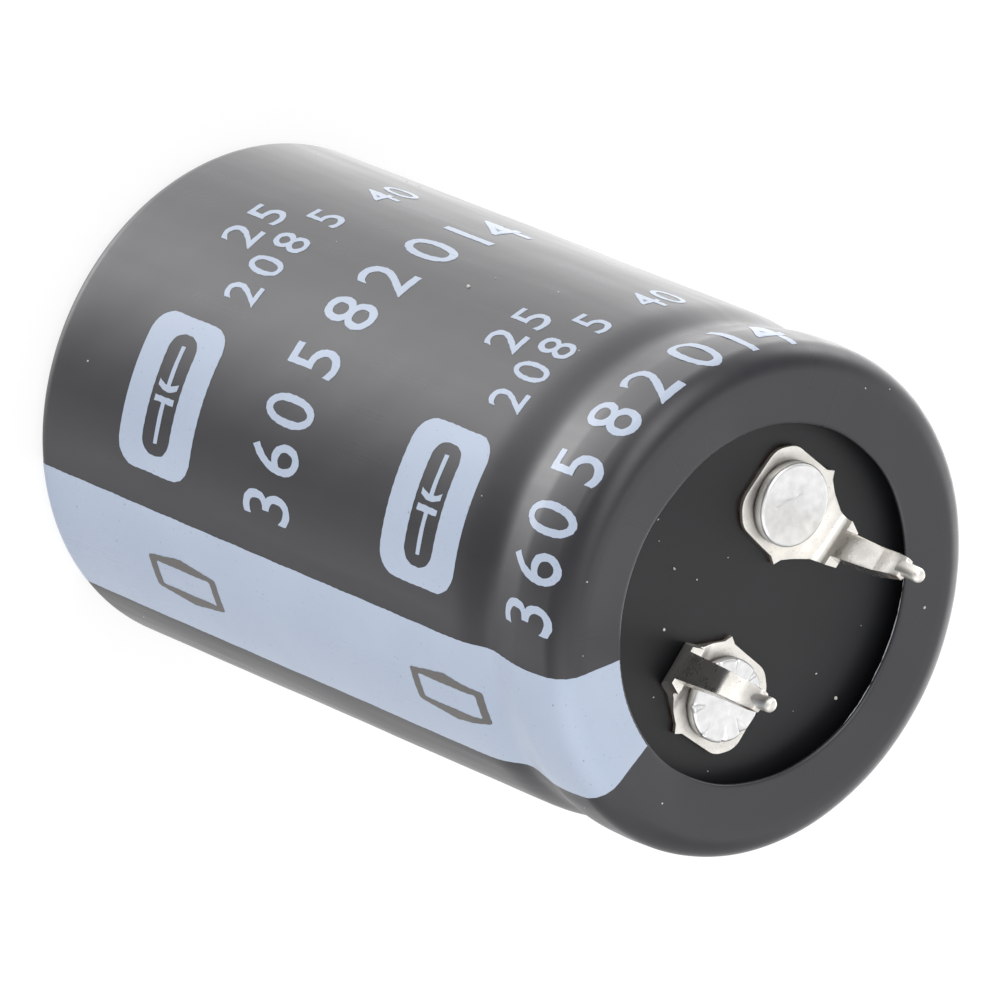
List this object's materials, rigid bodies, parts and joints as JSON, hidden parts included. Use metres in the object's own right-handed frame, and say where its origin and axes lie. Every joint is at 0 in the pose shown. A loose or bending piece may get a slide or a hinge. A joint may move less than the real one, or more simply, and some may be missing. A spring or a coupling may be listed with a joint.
{
  "type": "aluminium electrolytic capacitor",
  "caption": "Snap-in aluminium electrolytic capacitor in a printed black sleeve: a beaded can closed by a rubber-faced deck that carries riveted solder terminals.",
  "frame": {"origin": "middle of the foot, on the surface that the can's closed end stands on", "axes": "+Z along the can towards the terminals; +X towards the tip of the positive terminal, with the negative one and the stripe on -X"},
  "size_m": [0.0256, 0.0256, 0.047],
  "materials": {
    "shrink_film": "satin black heat-shrink film with pale blue print",
    "drawn_aluminium": "drawn",
    "phenolic_board": "matt",
    "deck_rubber": "matt",
    "tinned_sheet": "bright tin plate",
    "rivet_aluminium": "bright",
    "tab_aluminium": "dull",
    "foil_and_paper": "soaked in electrolyte",
    "tape_film": "clear amber film"
  },
  "bodies": {
    "root": {"sleeve": "shrink_film", "can": "drawn_aluminium", "terminal_board": "phenolic_board", "rubber_facing": "deck_rubber", "positive_terminal": "tinned_sheet", "negative_terminal": "tinned_sheet", "positive_rivet": "rivet_aluminium", "negative_rivet": "rivet_aluminium", "positive_washer": "rivet_aluminium", "negative_washer": "rivet_aluminium", "positive_tab": "tab_aluminium", "negative_tab": "tab_aluminium", "winding": "foil_and_paper", "closing_tape": "tape_film"}
  },
  "joints": []
}
